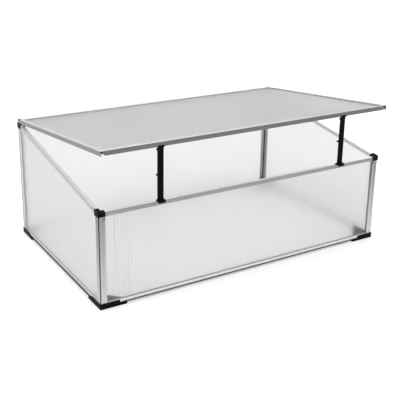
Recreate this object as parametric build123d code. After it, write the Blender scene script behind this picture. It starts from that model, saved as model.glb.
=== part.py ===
from build123d import *
import math
import os

# A cold frame: a low box with a sloping top, made of aluminium extrusions, twin-wall
# polycarbonate panels and black plastic corners, under a lid that is hinged along the
# back and propped open. Millimetres, +X to the right, +Y to the back, +Z up. The origin
# is on the ground, under the middle of the part with its lid propped open. Everything is
# made round the middle of the box, and moved to the origin at the end.

os.makedirs("parts", exist_ok=True)

# Box, measured over the plastic corners
WIDTH = 1000
DEPTH = 620
FRONT_HEIGHT = 287
REAR_HEIGHT = 383

# Aluminium extrusions of the box
RAIL_HEIGHT = 12
RAIL_DEPTH = 10
SLOT_OFFSET = 4.2
SLOT_DEPTH = 7
FACE_GROOVE_HEIGHT = 4.5
FACE_GROOVE_DEPTH = 0.8
CHAMBER_WIDTH = 5
CHAMBER_HEIGHT = 2.6
POST_WIDTH = 20
POST_NOTCH_WIDTH = 2.2
POST_NOTCH_DEPTH = 4
PORT_DIAMETER = 4
PORT_OFFSET = 6.2

# Twin-wall panels
PANEL_THICKNESS = 4
PANEL_SKIN = 0.5
PANEL_WEB = 0.5
CELL_PITCH = 10
SLOT_GAP = 0.2
EDGE_GAP = 1

# Plastic corners of the box
CORNER_WALL = 1.5
CAP_ARM_FRONT = 22
CAP_ARM_SIDE = 25
CAP_SKIRT = 1
RIM_WIDTH = 1.5
RIM_HEIGHT = 2.5
PEG_LENGTH = 14
PEG_FIT = 0.1
SOLE_THICKNESS = 6
SOLE_ARM = 82
FOOT_HEIGHT = 17
FOOT_ARM = 60
GUSSET_LEG = 62
GUSSET_THICKNESS = 2.5

# Lid
LID_RIM_GAP = 0.5
LID_OVERHANG = 15
LID_THICKNESS = 13
LID_RAIL_WIDTH = 12
LID_WALL = 2
LID_LIP = 1.6
LID_SHELF = 1.4
LID_FOOT_LIP = 4
LID_CLOSED_GAP = 0.3
LID_PROP_ANGLE = 6.2
LID_OPEN_ANGLE = 75
LID_SIDE_SHELF = 9
LID_END_GAP = 15
LID_END_SLANT = 4.5
KEY_WIDTH = 6
KEY_SCREW_LENGTH = 4.5
REAR_PLUG_LENGTH = 8
REAR_PLUG_REACH = 4

# Hinge along the back
HINGE_INSET = 7
HINGE_HEIGHT_IN_LID = 4.9
BEAD_RADIUS = 3
BEAD_CLEARANCE = 0.3
SOCKET_WALL = 1.7
SOCKET_WEB = 5.6
NECK_THICKNESS = 2.4
NECK_CLEARANCE = 0.4
FLANGE_REACH = 5

# Stays
STAY_SPACING = 640
STAY_WIDTH = 17
STAY_THICKNESS = 5
STAY_GROOVE_WIDTH = 5
STAY_GROOVE_DEPTH = 0.9
PEG_PITCH = 75
HOOK_REACH = 9
HOOK_HEIGHT = 4.5
HOOK_TAPER = 1
TOE_WIDTH = 21
TOE_REACH = 9.5
TOE_HEIGHT = 9
TOE_RISE = 2.5
EYE_RADIUS = 4
PIN_RADIUS = 1.9
PIN_CLEARANCE = 0.3
PIN_HEAD_RADIUS = 3
PIN_HEAD_LENGTH = 2.5
LUG_WIDTH = 5.4
LUG_CLEARANCE = 0.3
BRACKET_WIDTH = 19
BRACKET_THICKNESS = 2
BRACKET_LIP_HEIGHT = 3.5
BRACKET_LIP_THICKNESS = 1.2
STUD_RADIUS = 2
PIVOT_DROP = 4.9

# Screws
SCREW_RADIUS = 1.5
SCREW_HEAD_RADIUS = 2.6
SCREW_HEAD_HEIGHT = 1.2
SCREW_HEAD_ROUND = 0.54
SCREW_SLOT_WIDTH = 0.7
CLAMP_SCREW_LENGTH = 3.6
CLAMP_SCREW_INSET = 3.6
CLAMP_SCREW_DROP = 7
FOOT_SCREW_ALONG = 44

# Worked out from the above
half_width = WIDTH / 2
half_depth = DEPTH / 2
frame_x = half_width - CORNER_WALL
frame_y = half_depth - CORNER_WALL
slope = (REAR_HEIGHT - FRONT_HEIGHT) / DEPTH
slope_angle = math.degrees(math.atan(slope))
slot_width = PANEL_THICKNESS + 2 * SLOT_GAP
corner_depth = RAIL_DEPTH + 2 * CORNER_WALL
panel_inset = SLOT_OFFSET + SLOT_GAP
far = 3 * (WIDTH + DEPTH)


def slope_height(y):
    """Height of the sloping top of the box at y."""
    return FRONT_HEIGHT + (y + half_depth) * slope


def block(x0, x1, y0, y1, z0, z1):
    """A box between two corners."""
    centre = Pos((x0 + x1) / 2, (y0 + y1) / 2, (z0 + z1) / 2)
    return centre * Box(abs(x1 - x0), abs(y1 - y0), abs(z1 - z0))


def below_slope(drop=0):
    """All space under the plane that lies drop below the sloping top of the box."""
    turn = Pos(0, 0, slope_height(0)) * Rot(X=slope_angle)
    return turn * Pos(0, 0, -far / 2 - drop) * Box(far, far, far)


def rod(radius, x0, x1, y, z):
    """A round bar along X."""
    return Pos((x0 + x1) / 2, y, z) * Rot(Y=90) * Cylinder(radius, abs(x1 - x0))


def as_made(shape):
    return shape


def mirrored_x(shape):
    return mirror(shape, about=Plane.YZ)


def mirrored_y(shape):
    return mirror(shape, about=Plane.XZ)


nodes = {}


def keep(name, shape):
    shape.label = name
    nodes[name] = shape


# ---------------------------------------------------------------- rails and posts

slope_cosine = math.cos(math.radians(slope_angle))
rear_rail_top = slope_height(frame_y - RAIL_DEPTH)
front_cap_bottom = FRONT_HEIGHT - RAIL_HEIGHT - CAP_SKIRT
rear_cap_bottom = slope_height(frame_y - POST_WIDTH) - RAIL_HEIGHT / slope_cosine - CAP_SKIRT
chamber_bottom = SLOT_DEPTH + (RAIL_HEIGHT - SLOT_DEPTH - CHAMBER_HEIGHT) / 2
chamber_near = (RAIL_DEPTH - CHAMBER_WIDTH) / 2


def rail(length):
    """An extrusion along X: its outer face is at y = 0 and its panel slot opens down."""
    half = length / 2
    groove_bottom = (RAIL_HEIGHT - FACE_GROOVE_HEIGHT) / 2
    groove_top = groove_bottom + FACE_GROOVE_HEIGHT
    chamber_top = chamber_bottom + CHAMBER_HEIGHT
    chamber_far = chamber_near + CHAMBER_WIDTH
    body = block(-half, half, 0, RAIL_DEPTH, 0, RAIL_HEIGHT)
    body -= block(-half, half, SLOT_OFFSET, SLOT_OFFSET + slot_width, 0, SLOT_DEPTH)
    body -= block(-half, half, chamber_near, chamber_far, chamber_bottom, chamber_top)
    body -= block(-half, half, 0, FACE_GROOVE_DEPTH, groove_bottom, groove_top)
    return body


def tongue(start, end):
    """The tongue of a corner cap along X, which fills a rail's chamber."""
    near = chamber_near + PEG_FIT
    low = chamber_bottom + PEG_FIT
    width = CHAMBER_WIDTH - 2 * PEG_FIT
    height = CHAMBER_HEIGHT - 2 * PEG_FIT
    return block(start, end, near, near + width, low, low + height)


def to_left_slope(shape):
    """Moves a shape from a rail's own frame to the left slope, along its top."""
    place = Pos(-frame_x, 0, slope_height(0)) * Rot(X=slope_angle)
    return place * Pos(0, 0, -RAIL_HEIGHT) * Rot(Z=-90) * shape


def post(height):
    """A corner extrusion along Z: its outer corner is at x = y = 0."""
    slot_start = POST_WIDTH - SLOT_DEPTH
    slot_end = SLOT_OFFSET + slot_width
    middle = (POST_WIDTH - FACE_GROOVE_HEIGHT) / 2
    body = block(0, POST_WIDTH, 0, RAIL_DEPTH, 0, height)
    body += block(0, RAIL_DEPTH, 0, POST_WIDTH, 0, height)
    notch = Box(2 * POST_NOTCH_DEPTH, POST_NOTCH_WIDTH, height)
    body -= Pos(0, 0, height / 2) * Rot(Z=45) * notch
    body -= block(slot_start, POST_WIDTH, SLOT_OFFSET, slot_end, 0, height)
    body -= block(SLOT_OFFSET, slot_end, slot_start, POST_WIDTH, 0, height)
    groove = block(middle, middle + FACE_GROOVE_HEIGHT, 0, FACE_GROOVE_DEPTH, 0, height)
    body -= groove
    body -= mirror(groove, about=Plane(origin=(0, 0, 0), z_dir=(1, -1, 0)))
    port = Pos(PORT_OFFSET, PORT_OFFSET, height / 2) * Cylinder(PORT_DIAMETER / 2, height)
    return body - port


def screw(length):
    """A pan-head screw along Z: its head rests at z = 0 and its shank points down."""
    head = Pos(0, 0, SCREW_HEAD_HEIGHT / 2) * Cylinder(SCREW_HEAD_RADIUS, SCREW_HEAD_HEIGHT)
    head = fillet(head.edges().group_by(Axis.Z)[-1], SCREW_HEAD_ROUND)
    slot = Box(2 * SCREW_HEAD_RADIUS, SCREW_SLOT_WIDTH, SCREW_HEAD_HEIGHT)
    slot = Pos(0, 0, SCREW_HEAD_HEIGHT) * slot
    shank = Pos(0, 0, -length / 2) * Cylinder(SCREW_RADIUS, length)
    return head - slot + shank


def screw_hole(length):
    return Pos(0, 0, -length / 2) * Cylinder(SCREW_RADIUS, length)


clamp_x = frame_x - POST_WIDTH + CLAMP_SCREW_INSET
clamp_screws = []
for front, base_top in ((True, front_cap_bottom), (False, rear_cap_bottom)):
    side = "front" if front else "rear"
    place = Pos(-clamp_x, -frame_y, base_top - CLAMP_SCREW_DROP) * Rot(X=90)
    left = Pos(-frame_x, -frame_y, SOLE_THICKNESS) * post(base_top - SOLE_THICKNESS)
    left -= place * screw_hole(CLAMP_SCREW_LENGTH)
    fixing = place * screw(CLAMP_SCREW_LENGTH)
    if not front:
        left = mirrored_y(left)
        fixing = mirrored_y(fixing)
    clamp_screws += [fixing, mirrored_x(fixing)]
    keep(f"{side}_left_post", left)
    keep(f"{side}_right_post", mirrored_x(left))
keep("post_clamp_screws", Compound(children=clamp_screws))

post_end = frame_x - POST_WIDTH
side_post_end = frame_y - POST_WIDTH
cap_end_x = half_width - CAP_ARM_FRONT
cap_end_y = half_depth - CAP_ARM_SIDE

bottom = mirror(rail(2 * post_end), about=Plane.XY)
bottom = Pos(0, -frame_y, SOLE_THICKNESS + RAIL_HEIGHT) * bottom
keep("front_bottom_rail", bottom)
keep("rear_bottom_rail", mirrored_y(bottom))
side_bottom = mirror(rail(2 * side_post_end), about=Plane.XY)
side_bottom = Pos(-frame_x, 0, SOLE_THICKNESS + RAIL_HEIGHT) * Rot(Z=-90) * side_bottom
keep("left_bottom_rail", side_bottom)
keep("right_bottom_rail", mirrored_x(side_bottom))

front_top = Pos(0, -frame_y, FRONT_HEIGHT - RAIL_HEIGHT) * rail(2 * cap_end_x)
keep("front_top_rail", front_top)

slope_rail = to_left_slope(rail(DEPTH / slope_cosine))
slope_rail &= block(-half_width, 0, -cap_end_y, cap_end_y, 0, far)
keep("left_slope_rail", slope_rail)
keep("right_slope_rail", mirrored_x(slope_rail))

# ---------------------------------------------------------------- hinge

axis_y = frame_y - HINGE_INSET
axis_lift = (LID_CLOSED_GAP + HINGE_HEIGHT_IN_LID) / slope_cosine
axis_z = slope_height(axis_y) + axis_lift
socket_inner = BEAD_RADIUS + BEAD_CLEARANCE
socket_outer = socket_inner + SOCKET_WALL
hinge_half = cap_end_x - EDGE_GAP
mouth_margin = math.degrees(math.asin((NECK_THICKNESS / 2 + NECK_CLEARANCE) / socket_inner))
mouth_low = slope_angle + mouth_margin
mouth_high = LID_OPEN_ANGLE + mouth_margin


def toward_front(reach, angle):
    """A point in the YZ plane at reach from the origin, angle above straight to the front."""
    turn = math.radians(angle)
    return (0, -reach * math.cos(turn), reach * math.sin(turn))


mouth_reach = 4 * socket_outer
mouth_middle = (mouth_high - mouth_low) / 2
mouth_outline = Polyline(
    (0, 0, 0),
    toward_front(mouth_reach, -mouth_low),
    toward_front(mouth_reach, mouth_middle),
    toward_front(mouth_reach, mouth_high),
    close=True,
)
mouth = extrude(make_face(mouth_outline), hinge_half, dir=(1, 0, 0), both=True)
socket = rod(socket_outer, -hinge_half, hinge_half, 0, 0)
web_half = SOCKET_WEB / 2
web_bottom = rear_rail_top - axis_z
socket += block(-hinge_half, hinge_half, -web_half, web_half, web_bottom, 0)
socket -= rod(socket_inner, -hinge_half, hinge_half, 0, 0)
socket -= mouth
rear_top = mirrored_y(Pos(0, -frame_y, rear_rail_top - RAIL_HEIGHT) * rail(2 * cap_end_x))
keep("rear_top_rail", rear_top + Pos(0, axis_y, axis_z) * socket)

# ---------------------------------------------------------------- wall panels


def twin_wall(width, height):
    """A twin-wall sheet: centred on x = 0, y from 0 into the box, cells along z."""
    cells = int((width - PANEL_WEB) / CELL_PITCH)
    section = Rectangle(width, PANEL_THICKNESS)
    cell = Rectangle(CELL_PITCH - PANEL_WEB, PANEL_THICKNESS - 2 * PANEL_SKIN)
    section -= GridLocations(CELL_PITCH, 1, cells, 1) * cell
    return extrude(Pos(0, PANEL_THICKNESS / 2) * section, height)


wall_bottom = SOLE_THICKNESS + RAIL_HEIGHT - SLOT_DEPTH + EDGE_GAP
front_wall_top = FRONT_HEIGHT - RAIL_HEIGHT + SLOT_DEPTH - EDGE_GAP
rear_wall_top = rear_rail_top - RAIL_HEIGHT + SLOT_DEPTH - EDGE_GAP
wall_width = 2 * (post_end + SLOT_DEPTH - EDGE_GAP)
side_wall_width = 2 * (side_post_end + SLOT_DEPTH - EDGE_GAP)

front_sheet = twin_wall(wall_width, front_wall_top - wall_bottom)
keep("front_panel", Pos(0, -frame_y + panel_inset, wall_bottom) * front_sheet)
rear_sheet = twin_wall(wall_width, rear_wall_top - wall_bottom)
keep("rear_panel", mirrored_y(Pos(0, -frame_y + panel_inset, wall_bottom) * rear_sheet))
side_sheet = twin_wall(side_wall_width, REAR_HEIGHT - wall_bottom)
side_sheet = Pos(-frame_x + panel_inset, 0, wall_bottom) * Rot(Z=-90) * side_sheet
side_sheet &= below_slope(RAIL_HEIGHT - SLOT_DEPTH + EDGE_GAP)
keep("left_panel", side_sheet)
keep("right_panel", mirrored_x(side_sheet))

# ---------------------------------------------------------------- plastic corners


def corner_arms(arm_x, arm_y, depth, z0, z1):
    """An L in plan with its outer corner at x = y = 0, between two heights."""
    return block(0, arm_x, 0, depth, z0, z1) + block(0, depth, 0, arm_y, z0, z1)


def corner_cap(cap_bottom, rail_bottom, flip):
    """A left cap: flip takes a shape made at the front left to the cap's own corner."""
    top = REAR_HEIGHT + RIM_HEIGHT
    place = Pos(-half_width, -half_depth, 0)
    cap = corner_arms(CAP_ARM_FRONT, CAP_ARM_SIDE, corner_depth, cap_bottom, top)
    cap = flip(place * cap) & below_slope()
    rim = flip(place * block(0, RIM_WIDTH, 0, CAP_ARM_SIDE, cap_bottom, top))
    cap += rim & below_slope(-RIM_HEIGHT)

    # Slots that hold the upper corners of the panels
    near = SLOT_OFFSET - frame_y
    slot_top = rail_bottom + SLOT_DEPTH
    slot_x = post_end + SLOT_DEPTH
    cap -= flip(block(-slot_x, -cap_end_x, near, near + slot_width, cap_bottom, slot_top))
    near = SLOT_OFFSET - frame_x
    slot_y = side_post_end + SLOT_DEPTH
    slot = flip(block(near, near + slot_width, -slot_y, -cap_end_y, cap_bottom, top))
    cap -= slot & below_slope(RAIL_HEIGHT - SLOT_DEPTH)

    # Peg down into the post, and tongues into both rails
    peg_x = PORT_OFFSET - frame_x
    peg_y = PORT_OFFSET - frame_y
    peg = Pos(peg_x, peg_y, cap_bottom - PEG_LENGTH / 2)
    cap += flip(peg * Cylinder(PORT_DIAMETER / 2 - PEG_FIT, PEG_LENGTH))
    root = CORNER_WALL
    front_tongue = tongue(-cap_end_x - root, -cap_end_x + PEG_LENGTH)
    cap += flip(Pos(0, -frame_y, rail_bottom) * front_tongue)
    slope_end = cap_end_y / slope_cosine
    side_tongue = tongue(slope_end - PEG_LENGTH, slope_end + root)
    return cap, side_tongue


front_cap, side_tongue = corner_cap(front_cap_bottom, FRONT_HEIGHT - RAIL_HEIGHT, as_made)
front_cap += to_left_slope(side_tongue)
rear_cap, side_tongue = corner_cap(rear_cap_bottom, rear_rail_top - RAIL_HEIGHT, mirrored_y)
rear_cap += to_left_slope(mirrored_x(side_tongue))
for side, cap in (("front", front_cap), ("rear", rear_cap)):
    keep(f"{side}_left_cap", cap)
    keep(f"{side}_right_cap", mirrored_x(cap))

inner = corner_depth - CORNER_WALL
gusset_end = inner + GUSSET_LEG
foot = corner_arms(SOLE_ARM, SOLE_ARM, corner_depth, 0, SOLE_THICKNESS)
foot += corner_arms(FOOT_ARM, FOOT_ARM, CORNER_WALL, SOLE_THICKNESS, FOOT_HEIGHT)
foot += block(inner, gusset_end, inner, corner_depth, SOLE_THICKNESS, FOOT_HEIGHT)
foot += block(inner, corner_depth, inner, gusset_end, SOLE_THICKNESS, FOOT_HEIGHT)
gusset_outline = Polyline((inner, inner), (gusset_end, inner), (inner, gusset_end), close=True)
gusset = extrude(make_face(gusset_outline), GUSSET_THICKNESS)
foot += Pos(0, 0, FOOT_HEIGHT - GUSSET_THICKNESS) * gusset
foot_peg = Pos(
    PORT_OFFSET + CORNER_WALL, PORT_OFFSET + CORNER_WALL, SOLE_THICKNESS + PEG_LENGTH / 2
)
foot += foot_peg * Cylinder(PORT_DIAMETER / 2 - PEG_FIT, PEG_LENGTH)

# Screws through a foot's inner walls, which hold the bottom rails
foot_screw_z = (SOLE_THICKNESS + FOOT_HEIGHT) / 2
along_x = Pos(FOOT_SCREW_ALONG, corner_depth, foot_screw_z) * Rot(X=-90)
along_y = Pos(corner_depth, FOOT_SCREW_ALONG, foot_screw_z) * Rot(Y=90)
screw_length = CORNER_WALL + RAIL_DEPTH - SLOT_OFFSET - slot_width
for place in (along_x, along_y):
    foot -= place * screw_hole(screw_length)
foot = Pos(-half_width, -half_depth, 0) * foot
foot_screws = []
for place in (along_x, along_y):
    fixing = Pos(-half_width, -half_depth, 0) * place * screw(screw_length)
    foot_screws += [fixing, mirrored_x(fixing), mirrored_y(fixing)]
    foot_screws.append(mirrored_x(mirrored_y(fixing)))
keep("front_left_foot", foot)
keep("front_right_foot", mirrored_x(foot))
keep("rear_left_foot", mirrored_y(foot))
keep("rear_right_foot", mirrored_x(mirrored_y(foot)))
keep("foot_screws", Compound(children=foot_screws))
for name in ("front_bottom_rail", "rear_bottom_rail", "left_bottom_rail", "right_bottom_rail"):
    drilled = nodes[name]
    for fixing in foot_screws:
        drilled -= fixing
    keep(name, drilled)

# ---------------------------------------------------------------- lid, in its own frame
# The hinge axis is x; y = 0 is the axis, the lid reaches to -y, and z is square to it.

lid_x = half_width - RIM_WIDTH - LID_RIM_GAP
lid_top = LID_THICKNESS - HINGE_HEIGHT_IN_LID
lid_low = -HINGE_HEIGHT_IN_LID
lid_front = (axis_y + half_depth + LID_OVERHANG) / slope_cosine
lid_inner_x = lid_x - LID_RAIL_WIDTH
lip_low = lid_top - LID_LIP
shelf_top = lip_low - slot_width
shelf_low = shelf_top - LID_SHELF
rear_face = socket_outer + LID_WALL
rear_inner = rear_face + LID_RAIL_WIDTH
front_inner = lid_front - LID_RAIL_WIDTH


def place_lid(shape):
    """Puts a shape of the lid where it is when the lid is propped open."""
    return Pos(0, axis_y, axis_z) * Rot(X=-LID_PROP_ANGLE) * shape


groove_middle = (lid_low + lid_top) / 2
groove_low = groove_middle - FACE_GROOVE_HEIGHT / 2
groove_high = groove_middle + FACE_GROOVE_HEIGHT / 2

# Front rail: a lip over the panel from corner to corner, and a hollow rail under it
front_rail = block(-lid_x, lid_x, -lid_front, -front_inner, lip_low, lid_top)
under_x = lid_x - LID_END_GAP
slant_x = under_x + LID_END_SLANT
under_outline = Polyline(
    (-slant_x, -lid_front, lip_low),
    (slant_x, -lid_front, lip_low),
    (under_x, -lid_front, lid_low),
    (-under_x, -lid_front, lid_low),
    close=True,
)
under = extrude(make_face(under_outline), LID_RAIL_WIDTH, dir=(0, 1, 0))
under -= block(-lid_x, lid_x, -lid_front + LID_WALL, -front_inner, shelf_top, lip_low)
hollow_front = -lid_front + LID_WALL
hollow_rear = -front_inner - LID_SHELF
under -= block(-lid_x, lid_x, hollow_front, hollow_rear, lid_low + LID_SHELF, shelf_low)
front_rail += under
groove_front = -lid_front + FACE_GROOVE_DEPTH
front_rail -= block(-lid_x, lid_x, -lid_front, groove_front, groove_low, groove_high)

# Side rails: open channels, which show their cut ends at the front
plug_x = lid_x - REAR_PLUG_LENGTH
plug_front = rear_face + REAR_PLUG_REACH
shelf_x = -lid_x + LID_SIDE_SHELF
foot_lip_x = -lid_x + LID_WALL + LID_FOOT_LIP
groove_x = -lid_x + FACE_GROOVE_DEPTH
left_rail = block(-lid_x, -lid_inner_x, -front_inner, -rear_inner, lip_low, lid_top)
left_rail += block(-lid_x, -plug_x, -rear_inner, -plug_front, lip_low, lid_top)
left_rail += block(-lid_x, -lid_x + LID_WALL, -lid_front, -rear_face, lid_low, lip_low)
left_rail += block(-lid_x, shelf_x, -lid_front, -rear_face, shelf_low, shelf_top)
left_rail += block(-lid_x, foot_lip_x, -lid_front, -rear_face, lid_low, lid_low + LID_SHELF)
left_rail -= block(-lid_x, groove_x, -lid_front, -rear_face, groove_low, groove_high)

# Rear rail: a flange over the socket, and a bead on a neck that turns in the socket
rear_rail = block(-plug_x, plug_x, -rear_inner, FLANGE_REACH, lip_low, lid_top)
rear_under = block(-lid_inner_x, lid_inner_x, -rear_inner, -rear_face, lid_low, lip_low)
hollow_front = -rear_inner + LID_SHELF
hollow_rear = -rear_face - LID_WALL
rear_under -= block(-lid_x, lid_x, -rear_inner, hollow_rear, shelf_top, lip_low)
rear_under -= block(-lid_x, lid_x, hollow_front, hollow_rear, lid_low + LID_SHELF, shelf_low)
rear_rail += rear_under
rear_rail += rod(BEAD_RADIUS, -hinge_half, hinge_half, 0, 0)
half_neck = NECK_THICKNESS / 2
rear_rail += block(-hinge_half, hinge_half, -rear_face, 0, -half_neck, half_neck)

# End plugs of the rear rail
plug_low = half_neck
rear_plug = block(-lid_x, -plug_x, -rear_face, FLANGE_REACH, plug_low, lip_low)
rear_plug += block(-lid_x, -plug_x, -plug_front, FLANGE_REACH, lip_low, lid_top)

# Corner keys in the panel slots, each with a screw from below
key_x = lid_x - LID_WALL
key_mid_x = key_x - KEY_WIDTH / 2
front_key = block(-key_x, -key_x + KEY_WIDTH, -lid_front, -front_inner, shelf_top, lip_low)
rear_key = block(-key_x, -key_x + KEY_WIDTH, -rear_inner, -rear_face, shelf_top, lip_low)
key_screws = []
for key_y in (-lid_front + LID_RAIL_WIDTH / 2, -rear_inner + LID_RAIL_WIDTH / 2):
    place = Pos(-key_mid_x, key_y, shelf_low) * Rot(X=180)
    hole = place * screw_hole(KEY_SCREW_LENGTH)
    left_rail -= hole
    front_key -= hole
    rear_key -= hole
    fixing = place * screw(KEY_SCREW_LENGTH)
    key_screws += [fixing, mirrored_x(fixing)]

# Lid sheet: cells from back to front, corners cut out round the keys
sheet_rear = rear_face + LID_WALL + EDGE_GAP
sheet_front = lid_front - LID_WALL - EDGE_GAP
sheet_width = 2 * (lid_x - LID_WALL - EDGE_GAP)
lid_sheet = twin_wall(sheet_width, sheet_front - sheet_rear)
lid_sheet = Pos(0, -sheet_rear, shelf_top + SLOT_GAP) * Rot(X=90) * lid_sheet
notch_x = key_x - KEY_WIDTH - EDGE_GAP
for sign in (-1, 1):
    outer_x = sign * lid_x
    lid_sheet -= block(
        sign * notch_x, outer_x, -lid_front, -front_inner + EDGE_GAP, lid_low, lid_top
    )
    lid_sheet -= block(
        sign * notch_x, outer_x, -rear_inner - EDGE_GAP, 0, lid_low, lid_top
    )

keep("lid_rear_rail", place_lid(rear_rail))
keep("lid_left_rail", place_lid(left_rail))
keep("lid_right_rail", place_lid(mirrored_x(left_rail)))
keep("lid_panel", place_lid(lid_sheet))
keep("lid_rear_left_plug", place_lid(rear_plug))
keep("lid_rear_right_plug", place_lid(mirrored_x(rear_plug)))
keep("lid_front_left_key", place_lid(front_key))
keep("lid_front_right_key", place_lid(mirrored_x(front_key)))
keep("lid_rear_left_key", place_lid(rear_key))
keep("lid_rear_right_key", place_lid(mirrored_x(rear_key)))
keep("lid_key_screws", place_lid(Compound(children=key_screws)))

# ---------------------------------------------------------------- stay brackets and pins

pivot_y = -(lid_front - LID_RAIL_WIDTH / 2)
plate_low = lid_low - BRACKET_THICKNESS
pivot_z = plate_low - PIVOT_DROP
lug_half = LUG_WIDTH / 2
stay_half = STAY_WIDTH / 2
bracket_half = BRACKET_WIDTH / 2
lip_front = -lid_front - BRACKET_LIP_THICKNESS
lip_top = lid_low + BRACKET_LIP_HEIGHT
hollow_reach = LID_RAIL_WIDTH - LID_SHELF

bracket_rear = hollow_reach - lid_front
bracket = block(-bracket_half, bracket_half, lip_front, bracket_rear, plate_low, lid_low)
bracket += block(-bracket_half, bracket_half, lip_front, -lid_front, lid_low, lip_top)
lug_front = pivot_y - EYE_RADIUS
lug_rear = pivot_y + EYE_RADIUS
bracket += block(-lug_half, lug_half, lug_front, lug_rear, pivot_z, plate_low)
bracket += rod(EYE_RADIUS, -lug_half, lug_half, pivot_y, pivot_z)
bracket -= rod(PIN_RADIUS, -lug_half, lug_half, pivot_y, pivot_z)
stud_top = lid_low + 2 * LID_SHELF
stud = Pos(0, pivot_y, (plate_low + stud_top) / 2)
stud = stud * Cylinder(STUD_RADIUS, stud_top - plate_low)
bracket += stud

pin = rod(PIN_RADIUS, -stay_half - PIN_CLEARANCE, stay_half, pivot_y, pivot_z)
head_start = -stay_half - PIN_CLEARANCE
pin += rod(PIN_HEAD_RADIUS, head_start - PIN_HEAD_LENGTH, head_start, pivot_y, pivot_z)

stay_x = STAY_SPACING / 2
drilled = front_rail
for side, sign in (("left", -1), ("right", 1)):
    across = Pos(sign * stay_x, 0, 0)
    drilled -= across * stud
    keep(f"{side}_stay_bracket", place_lid(across * bracket))
    keep(f"{side}_stay_pin", place_lid(across * pin))
keep("lid_front_rail", place_lid(drilled))

# ---------------------------------------------------------------- stays, hanging from pins

prop = math.radians(LID_PROP_ANGLE)
pivot_depth = axis_y + pivot_y * math.cos(prop) + pivot_z * math.sin(prop)
pivot_height = axis_z - pivot_y * math.sin(prop) + pivot_z * math.cos(prop)
bar_half = STAY_THICKNESS / 2
bar_end = -2 * PEG_PITCH - HOOK_HEIGHT / 2
stay = block(-stay_half, stay_half, -bar_half, bar_half, bar_end, 0)
stay += rod(EYE_RADIUS, -stay_half, stay_half, 0, 0)
fork_half = lug_half + LUG_CLEARANCE
fork_floor = -EYE_RADIUS - LUG_CLEARANCE
stay -= block(-fork_half, fork_half, -EYE_RADIUS, EYE_RADIUS, fork_floor, EYE_RADIUS)
stay -= rod(PIN_RADIUS + PIN_CLEARANCE, -stay_half, stay_half, 0, 0)
groove_half = STAY_GROOVE_WIDTH / 2
groove_start = fork_floor - EYE_RADIUS
groove_end = bar_end + TOE_HEIGHT + EYE_RADIUS
groove = block(
    -groove_half, groove_half, -bar_half, -bar_half + STAY_GROOVE_DEPTH, groove_end, groove_start
)
stay -= groove + mirrored_y(groove)
hook_outline = Polyline(
    (-stay_half, bar_half, HOOK_HEIGHT / 2),
    (-stay_half, bar_half + HOOK_REACH, HOOK_HEIGHT / 2 - HOOK_TAPER),
    (-stay_half, bar_half + HOOK_REACH, -HOOK_HEIGHT / 2),
    (-stay_half, bar_half, -HOOK_HEIGHT / 2),
    close=True,
)
hook = extrude(make_face(hook_outline), STAY_WIDTH, dir=(1, 0, 0))
for step in (1, 2):
    stay += Pos(0, 0, -step * PEG_PITCH) * hook
toe_half = TOE_WIDTH / 2
toe_front = -bar_half - TOE_REACH
toe_outline = Polyline(
    (-toe_half, bar_half, bar_end + TOE_HEIGHT),
    (-toe_half, -bar_half, bar_end + TOE_HEIGHT),
    (-toe_half, toe_front, bar_end + TOE_HEIGHT - TOE_RISE),
    (-toe_half, toe_front, bar_end),
    (-toe_half, bar_half, bar_end + TOE_RISE),
    close=True,
)
stay += extrude(make_face(toe_outline), TOE_WIDTH, dir=(1, 0, 0))
for side, sign in (("left", -1), ("right", 1)):
    keep(f"{side}_stay", Pos(sign * stay_x, pivot_depth, pivot_height) * stay)

# The whole part, from the grips to the back wall, is centred on the origin
to_origin = Pos(0, -(pivot_depth + toe_front + half_depth) / 2, 0)
for name, shape in nodes.items():
    export_step(to_origin * shape, f"parts/{name}.step")
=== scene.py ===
import bpy
import bmesh
import math
from mathutils import Matrix, Vector


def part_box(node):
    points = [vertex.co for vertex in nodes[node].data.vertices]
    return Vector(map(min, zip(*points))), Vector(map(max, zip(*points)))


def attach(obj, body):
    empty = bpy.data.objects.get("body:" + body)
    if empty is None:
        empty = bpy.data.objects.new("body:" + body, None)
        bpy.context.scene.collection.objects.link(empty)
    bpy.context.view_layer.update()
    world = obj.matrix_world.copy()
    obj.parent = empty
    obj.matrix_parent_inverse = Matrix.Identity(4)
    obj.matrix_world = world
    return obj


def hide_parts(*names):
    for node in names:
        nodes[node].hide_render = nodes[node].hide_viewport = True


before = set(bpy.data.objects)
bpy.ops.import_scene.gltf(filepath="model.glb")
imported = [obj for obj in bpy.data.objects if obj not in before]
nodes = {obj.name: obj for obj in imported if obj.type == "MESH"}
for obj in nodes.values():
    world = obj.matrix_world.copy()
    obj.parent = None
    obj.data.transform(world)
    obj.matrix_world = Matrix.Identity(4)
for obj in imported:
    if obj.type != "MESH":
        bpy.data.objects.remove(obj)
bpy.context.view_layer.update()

# Sizes of the sheets' details, in metres, with the points that a skin has for each cell
CELL = 0.010
RIB_HALF_WIDTH = 0.0020
SKIN_SINK = 0.00006
SKIN_STEPS = 4
LID_SHEET_TRIM = 0.006
NEAR = 1e-4

# The metres from a sheet's middle where its webs start to fade and where they have faded,
# and the share of them that is left there
FADE_START = -0.4
FADE_END = -0.24
FADE_SHARE = 0.15

# The sheets' plastic: its roughness, uneven between those two, and its index of refraction
SHEET_ROUGHNESS = (0.285, 0.31)
SHEET_INDEX = 1.22

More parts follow.
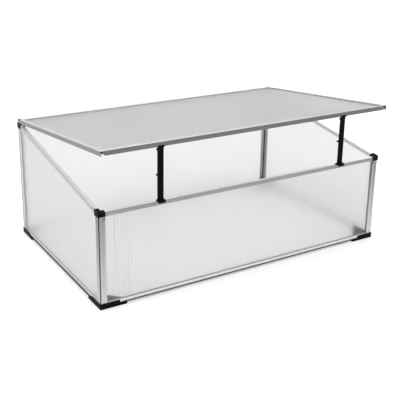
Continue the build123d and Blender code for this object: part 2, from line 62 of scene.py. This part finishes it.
# Sizes of the painted shade and shadow on the extrusions, in metres. The painted shade on a post's
# corners is as wide as the slot up to the first reach, and as the groove from the second on. A
# reach is the sum of the distances from the post's two outer faces.
SLOT_REACH = 0.012
GROOVE_REACH = 0.028
SLOT_HALF_WIDTH = 0.0024
REAR_SLOT_HALF_WIDTH = 0.0055
REAR_GROOVE_HALF_WIDTH = 0.0014
SLOT_SOFTNESS = 0.0004
# Heights above the rails' lowest point of the painted shadow along the bottom rails' outer lower
# edge
LONG_EDGE_HEIGHT = 0.0038
SIDE_EDGE_HEIGHT = 0.0062
EDGE_SOFTNESS = 0.0008

# Tones of the painted shade, shadow and light against the rest of a piece
SLOT_PAINTED_SHADE = 0.15
EDGE_PAINTED_SHADOW = 0.03
POST_TOP_PAINTED_SHADE = 0.31
INNER_PAINTED_LIGHT = 1.5
LID_INNER_PAINTED_LIGHT = 1.8

# The fine lines of an extrusion: noise scales along and across it, and the bump's metres
LINES_ALONG = 6.0
LINES_ACROSS = 900.0
BUMP_DEPTH = 0.0002

# Places taken from the frame, in metres
post_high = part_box("rear_right_post")[1]
front_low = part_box("front_left_post")[0]
corner_x = post_high[0]
corner_y = (post_high[1] - front_low[1]) / 2.0
middle_y = (post_high[1] + front_low[1]) / 2.0
frame_top = post_high[2]
rail_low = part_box("front_bottom_rail")[0][2]

# ------------------------------------------------------------------ material helpers


class Nodes:
    """Short names for making a material's node tree."""

    def __init__(self, name):
        self.material = bpy.data.materials.new(name)
        self.material.use_nodes = True
        self.tree = self.material.node_tree
        self.tree.nodes.clear()
        self.out = self.new("ShaderNodeOutputMaterial")
        self.shader = self.new("ShaderNodeBsdfPrincipled")
        self.link(self.shader.outputs[0], self.out.inputs["Surface"])

    def link(self, source, target):
        self.tree.links.new(source, target)

    def new(self, kind, **settings):
        node = self.tree.nodes.new(kind)
        for key, value in settings.items():
            setattr(node, key, value)
        return node

    def put(self, value, socket):
        """Sets a socket to a number, or links it to another socket."""
        if isinstance(value, (int, float)):
            socket.default_value = value
        else:
            self.link(value, socket)

    def math(self, operation, first, second=0.0):
        node = self.new("ShaderNodeMath", operation=operation)
        self.put(first, node.inputs[0])
        self.put(second, node.inputs[1])
        return node.outputs[0]

    def remap(self, value, start, end, low, high, kind="LINEAR"):
        """Takes a value from the range start to end, to the range low to high."""
        node = self.new("ShaderNodeMapRange", interpolation_type=kind)
        self.put(value, node.inputs["Value"])
        self.put(start, node.inputs["From Min"])
        self.put(end, node.inputs["From Max"])
        self.put(low, node.inputs["To Min"])
        self.put(high, node.inputs["To Max"])
        return node.outputs["Result"]

    def part(self, space, axis):
        """One part of the object coordinates or of the normal."""
        place = self.new("ShaderNodeTexCoord")
        parts = self.new("ShaderNodeSeparateXYZ")
        self.link(place.outputs[space], parts.inputs[0])
        return parts.outputs[axis]

    def noise(self, scale, detail=3.0):
        """Noise in object coordinates: scale is one number, or one for each axis."""
        place = self.new("ShaderNodeTexCoord")
        mapping = self.new("ShaderNodeMapping")
        node = self.new("ShaderNodeTexNoise")
        mapping.inputs["Scale"].default_value = scale if isinstance(scale, tuple) else (scale,) * 3
        node.inputs["Scale"].default_value = 1.0
        node.inputs["Detail"].default_value = detail
        node.inputs["Roughness"].default_value = 0.6
        self.link(place.outputs["Object"], mapping.inputs["Vector"])
        self.link(mapping.outputs["Vector"], node.inputs["Vector"])
        return node.outputs["Fac"]

    def span(self, value, low, high):
        """Takes a noise, most of which lies between 0.3 and 0.7, to a range."""
        return self.remap(value, 0.3, 0.7, low, high)

    def bump(self, height, strength):
        node = self.new("ShaderNodeBump")
        node.inputs["Strength"].default_value = strength
        node.inputs["Distance"].default_value = BUMP_DEPTH
        self.link(height, node.inputs["Height"])
        self.link(node.outputs["Normal"], self.shader.inputs["Normal"])


def aluminium(name, along, level, top, shade):
    """Extruded aluminium: fine lines along the extrusion, with a faint mottle. The tone is a
    painted light and shade for each kind. Faces that look up have the tone times top, a painted
    light on them, and shade makes one more factor, of painted shade and light."""
    t = Nodes(name)
    lines = t.noise(tuple(LINES_ALONG if axis == along else LINES_ACROSS for axis in range(3)), 2.0)
    mottle = t.noise(24.0, 4.0)
    texture = t.math("ADD", t.math("MULTIPLY", lines, 0.62), t.math("MULTIPLY", mottle, 0.37))
    tone = t.span(texture, level * 0.88, level * 1.1)
    # Painted light: the faces that look up are lighter by the factor top
    tone = t.math("MULTIPLY", tone, t.remap(t.part("Normal", 2), 0.5, 0.9, 1.0, top))
    if shade:
        tone = t.math("MULTIPLY", tone, shade(t))
    t.link(t.math("MINIMUM", tone, 1.0), t.shader.inputs["Base Color"])
    t.shader.inputs["Metallic"].default_value = 1.0
    t.link(t.span(texture, 0.42, 0.54), t.shader.inputs["Roughness"])
    t.bump(lines, 0.25)
    return t.material


def post_slot_painted_shade(t, outer, inner):
    """Painted shade in the slot along the post's outer corner and in the groove along its inner
    one, which take those widths from each face."""
    from_x = t.math("SUBTRACT", corner_x, t.math("ABSOLUTE", t.part("Object", 0)))
    along_y = t.math("ABSOLUTE", t.math("SUBTRACT", t.part("Object", 1), middle_y))
    from_y = t.math("SUBTRACT", corner_y, along_y)
    off_corner = t.math("ABSOLUTE", t.math("SUBTRACT", from_x, from_y))
    width = t.remap(t.math("ADD", from_x, from_y), SLOT_REACH, GROOVE_REACH, outer, inner)
    start = t.math("SUBTRACT", width, SLOT_SOFTNESS)
    end = t.math("ADD", width, SLOT_SOFTNESS)
    return t.remap(off_corner, start, end, SLOT_PAINTED_SHADE, 1.0)


def front_post_painted_shade(t):
    """The slot's painted shade, and a painted shade toward the top, for the darker reflection
    there.
    """
    # Painted shade: the post's colour grows darker toward the top
    rise = t.remap(t.part("Object", 2), 0.0, frame_top, 1.0, POST_TOP_PAINTED_SHADE)
    return t.math("MULTIPLY", post_slot_painted_shade(t, SLOT_HALF_WIDTH, SLOT_HALF_WIDTH), rise)


def rear_post_painted_shade(t):
    """A wider painted shade in the slot than the front posts have, and a thinner one in the groove.
    """
    return post_slot_painted_shade(t, REAR_SLOT_HALF_WIDTH, REAR_GROOVE_HALF_WIDTH)


def inward(t, across):
    """1 on the faces that look toward the middle along that axis, and 0 on the others."""
    outward = t.math("MULTIPLY", t.part("Normal", across), t.part("Object", across))
    return t.remap(outward, -0.15, -0.1, 1.0, 0.0)


def slope_painted_light(t):
    """Painted light: lighter on the inner faces."""
    return t.remap(inward(t, 0), 0.0, 1.0, 1.0, INNER_PAINTED_LIGHT)


def lid_side_painted_light(t):
    """Painted light: lighter still on the inner faces."""
    return t.remap(inward(t, 0), 0.0, 1.0, 1.0, LID_INNER_PAINTED_LIGHT)


def bottom_painted_shading(t, across, height):
    """A painted shadow along the outer lower edge, where the rail nearly meets the ground, and
    painted light on the inner faces."""
    edge = rail_low + height
    rise = t.part("Object", 2)
    shade = t.remap(rise, edge - EDGE_SOFTNESS, edge + EDGE_SOFTNESS, EDGE_PAINTED_SHADOW, 1.0)
    return t.math("MAXIMUM", shade, t.math("MULTIPLY", inward(t, across), INNER_PAINTED_LIGHT))


# The bottom rails' painted shadow and light, with the painted shadow at two heights of the edge
def long_bottom_painted_shading(t):
    return bottom_painted_shading(t, 1, LONG_EDGE_HEIGHT)


def side_bottom_painted_shading(t):
    return bottom_painted_shading(t, 0, SIDE_EDGE_HEIGHT)


def black_plastic():
    t = Nodes("black_plastic")
    cloud = t.noise(60.0)
    t.link(t.span(cloud, 0.002, 0.004), t.shader.inputs["Base Color"])
    t.shader.inputs["Specular IOR Level"].default_value = 0.05
    t.link(t.span(cloud, 0.42, 0.55), t.shader.inputs["Roughness"])
    t.bump(t.noise(1400.0, 2.0), 0.3)
    return t.material


def screw_steel():
    t = Nodes("screw_steel")
    cloud = t.noise(500.0)
    t.link(t.span(cloud, 0.10, 0.18), t.shader.inputs["Base Color"])
    t.shader.inputs["Metallic"].default_value = 1.0
    t.link(t.span(cloud, 0.3, 0.45), t.shader.inputs["Roughness"])
    return t.material


def twin_wall(name, across, level, clear, ribs=0.1):
    """Twin-wall sheet: milky plastic that lets the share clear of the light through. Its
    webs show as uneven lines, darker by up to the share ribs and fainter to one side."""
    t = Nodes(name)
    place = t.part("Object", across)
    if across == 1:
        place = t.math("SUBTRACT", place, middle_y)
    off_web = t.math("PINGPONG", place, CELL / 2.0)
    line = t.remap(off_web, 0.0, RIB_HALF_WIDTH, 1.0, 0.0, "SMOOTHSTEP")
    streaks = t.noise(tuple(1.5 if axis == 2 else 45.0 for axis in range(3)), 2.0)
    patches = t.noise(3.5, 2.0)
    fade = t.remap(place, FADE_START, FADE_END, 1.0, FADE_SHARE, "SMOOTHSTEP")
    uneven = t.math("MULTIPLY", t.span(streaks, 0.0, 1.0), fade)
    web = t.math("MULTIPLY", line, uneven)
    for full, socket in ((level, "Base Color"), (clear, "Transmission Weight")):
        t.link(t.remap(web, 0.0, 1.0, full, full * (1.0 - ribs)), t.shader.inputs[socket])
    t.link(t.span(patches, *SHEET_ROUGHNESS), t.shader.inputs["Roughness"])
    t.shader.inputs["IOR"].default_value = SHEET_INDEX
    return t.material


# ------------------------------------------------------------------ twin-wall sheets


def sheet_piece(node, across, material, trim=0.0):
    """A twin-wall sheet in the place of its CAD node: closed, with its skins sunk a
    little between the webs. trim is taken off both ends across the cells."""
    mesh = nodes[node].data
    normal = max(mesh.polygons, key=lambda face: face.area).normal.copy()
    side = Vector((0.0, 0.0, 0.0))
    side[across] = 1.0
    along = normal.cross(side).normalized()
    points = [vertex.co.copy() for vertex in mesh.vertices]
    start = min(q.dot(side) for q in points)
    end = max(q.dot(side) for q in points)
    low = min(q.dot(normal) for q in points)
    high = max(q.dot(normal) for q in points)
    middle = (start + end) / 2.0

    def reach(at):
        """How far the sheet runs along its cells at one place across them."""
        runs = [q.dot(along) for q in points if trim or abs(q.dot(side) - at) < NEAR]
        return Vector((min(runs), max(runs)))

    first, last = reach(start), reach(end)
    cells = int((end - start) / CELL)
    count = cells * SKIN_STEPS + 1
    inner = [middle + (i / SKIN_STEPS - cells / 2.0) * CELL for i in range(count)]
    inner = [at for at in inner if start + trim + NEAR < at < end - trim - NEAR]
    bm = bmesh.new()
    rows = []
    for at in [start + trim] + inner + [end - trim]:
        bottom, top = first.lerp(last, (at - start) / (end - start))
        sink = SKIN_SINK * (1.0 - math.cos((at - middle) / CELL * 2.0 * math.pi)) / 2.0
        corners = (
            (bottom, low + sink),
            (top, low + sink),
            (top, high - sink),
            (bottom, high - sink),
        )
        rows.append([bm.verts.new(side * at + along * run + normal * out) for run, out in corners])
    for left, right in zip(rows, rows[1:]):
        for k in range(4):
            bm.faces.new((left[k], left[(k + 1) % 4], right[(k + 1) % 4], right[k]))
    bm.faces.new(rows[0])
    bm.faces.new(list(reversed(rows[-1])))
    bmesh.ops.recalc_face_normals(bm, faces=bm.faces)
    sheet = bpy.data.meshes.new(node + "_sheet")
    bm.to_mesh(sheet)
    bm.free()
    for face in sheet.polygons:
        face.use_smooth = abs(face.normal.dot(normal)) > 0.9
    sheet.set_sharp_from_angle(angle=math.radians(30.0))
    sheet.materials.append(material)
    piece = bpy.data.objects.new(node + "_sheet", sheet)
    bpy.context.scene.collection.objects.link(piece)
    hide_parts(node)
    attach(piece, "lid" if node.startswith("lid") else "box")


# Each sheet is the same plastic at a tone of its own, set lighter or darker where the light on it
# differs: painted light and shade
sheet_piece("front_panel", 0, twin_wall("front_sheet", 0, 0.95, 0.92, 0.3))
sheet_piece("rear_panel", 0, twin_wall("rear_sheet", 0, 0.85, 0.85))
sheet_piece("left_panel", 1, twin_wall("left_sheet", 1, 0.925, 0.65))
sheet_piece("right_panel", 1, twin_wall("right_sheet", 1, 0.87, 0.85))
sheet_piece("lid_panel", 0, twin_wall("lid_sheet", 0, 0.67, 0.8), trim=LID_SHEET_TRIM)

# ------------------------------------------------------------------ other materials


def paint(material, *names):
    for name in names:
        mesh = nodes[name].data
        mesh.materials.clear()
        mesh.materials.append(material)


black = black_plastic()
steel = screw_steel()
for name in nodes:
    if name.endswith("_screws"):
        paint(steel, name)
    elif name.endswith(("_cap", "_foot", "_plug", "_key", "_bracket", "_pin", "_stay")):
        paint(black, name)

# Each kind of extrusion: its pieces, its axis, its tone, the tone of its upward faces against the
# rest, and its painted shade and light. The kinds are all one aluminium: their tones are painted
# light and shade, lighter or darker where the light on each differs, and the upward faces' tone is
# a painted light on them.
extrusions = {
    "front_post": (("front_left_post", "front_right_post"), 2, 0.66, 1.0, front_post_painted_shade),
    "rear_post": (("rear_left_post", "rear_right_post"), 2, 0.64, 1.0, rear_post_painted_shade),
    "bottom": (("front_bottom_rail", "rear_bottom_rail"), 0, 0.78, 1.0, long_bottom_painted_shading),
    "side_bottom": (("left_bottom_rail", "right_bottom_rail"), 1, 0.62, 1.25, side_bottom_painted_shading),
    "top": (("front_top_rail", "rear_top_rail"), 0, 0.32, 3.2, None),
    "slope": (("left_slope_rail", "right_slope_rail"), 1, 0.48, 2.1, slope_painted_light),
    "lid_front": (("lid_front_rail",), 0, 0.19, 3.3, None),
    "lid_side": (("lid_left_rail", "lid_right_rail"), 1, 0.28, 1.8, lid_side_painted_light),
    "lid_rear": (("lid_rear_rail",), 0, 0.68, 1.0, None),
}
for kind, (pieces, along, level, top, shade) in extrusions.items():
    paint(aluminium(kind + "_aluminium", along, level, top, shade), *pieces)

# ------------------------------------------------------------------ floor and world

FLOOR_REACH = 12.0
FLOOR_TONE = 0.93
FLOOR_GLOW = 0.28
SKY_LIT = 0.95
SKY_SEEN = 1.0
floor_mesh = bpy.data.meshes.new("floor")
corner_signs = ((-1, -1), (1, -1), (1, 1), (-1, 1))
floor_corners = [(x * FLOOR_REACH, y * FLOOR_REACH, 0) for x, y in corner_signs]
floor_mesh.from_pydata(floor_corners, [], [(0, 1, 2, 3)])
floor = bpy.data.objects.new("floor", floor_mesh)
bpy.context.scene.collection.objects.link(floor)


def by_ray(tree, lit, seen):
    """lit for the rays that light the object, seen for those that show the background:
    the camera's, and those that a glossy or clear surface sends on."""
    path = tree.nodes.new("ShaderNodeLightPath")
    total = path.outputs["Is Camera Ray"]
    for name in ("Is Glossy Ray", "Is Transmission Ray"):
        either = tree.nodes.new("ShaderNodeMath")
        either.operation = "MAXIMUM"
        tree.links.new(total, either.inputs[0])
        tree.links.new(path.outputs[name], either.inputs[1])
        total = either.outputs[0]
    pick = tree.nodes.new("ShaderNodeMapRange")
    pick.inputs["To Min"].default_value = lit
    pick.inputs["To Max"].default_value = seen
    tree.links.new(total, pick.inputs["Value"])
    return pick.outputs["Result"]


ground = Nodes("floor")
ground.tree.nodes.remove(ground.shader)
diffuse = ground.new("ShaderNodeBsdfDiffuse")
diffuse.inputs["Color"].default_value = (FLOOR_TONE, FLOOR_TONE, FLOOR_TONE, 1.0)
glow = ground.new("ShaderNodeEmission")
ground.link(by_ray(ground.tree, 0.0, FLOOR_GLOW), glow.inputs["Strength"])
both = ground.new("ShaderNodeAddShader")
ground.link(diffuse.outputs[0], both.inputs[0])
ground.link(glow.outputs[0], both.inputs[1])
ground.link(both.outputs[0], ground.out.inputs["Surface"])
floor_mesh.materials.append(ground.material)

world = bpy.data.worlds.new("world")
bpy.context.scene.world = world
world.use_nodes = True
sky = world.node_tree
background = sky.nodes["Background"]
background.inputs["Color"].default_value = (1.0, 1.0, 1.0, 1.0)
sky.links.new(by_ray(sky, SKY_LIT, SKY_SEEN), background.inputs["Strength"])

# ------------------------------------------------------------------ lamps and camera


def area(name, place, target, size, power):
    light = bpy.data.lights.new(name, "AREA")
    light.shape = "RECTANGLE"
    light.size, light.size_y = size
    light.energy = power
    lamp = bpy.data.objects.new(name, light)
    lamp.location = place
    lamp.rotation_euler = (Vector(target) - Vector(place)).to_track_quat("-Z", "Y").to_euler()
    bpy.context.scene.collection.objects.link(lamp)


area("key", (-1.2, -0.6, 2.6), (0, 0, 0.2), (2.2, 2.2), 10)
area("back", (0.9, 3.2, 2.2), (0, 0, 0.3), (3.5, 2.0), 18)

# The camera's place in metres, its turn in degrees, and its lens in widths of its sensor
CAMERA_PLACE = (-1.2771, -2.0524, 1.0746)
YAW, PITCH, ROLL = 31.85, 18.15, 0.92
FOCAL_WIDTHS = 779.9 / 400.0
SHIFT = -0.11
SENSOR = 36.0
CLIP_END = 100.0
camera_data = bpy.data.cameras.new("camera")
camera_data.sensor_width = SENSOR
camera_data.lens = FOCAL_WIDTHS * SENSOR
camera_data.shift_y = SHIFT
camera_data.clip_end = CLIP_END
camera = bpy.data.objects.new("camera", camera_data)
turn = Matrix.Rotation(math.radians(-YAW), 4, "Z")
turn = turn @ Matrix.Rotation(math.radians(90.0 - PITCH), 4, "X")
turn = turn @ Matrix.Rotation(math.radians(ROLL), 4, "Z")
camera.matrix_world = Matrix.Translation(CAMERA_PLACE) @ turn
bpy.context.scene.collection.objects.link(camera)
bpy.context.scene.camera = camera
bpy.context.scene.view_settings.view_transform = "Standard"
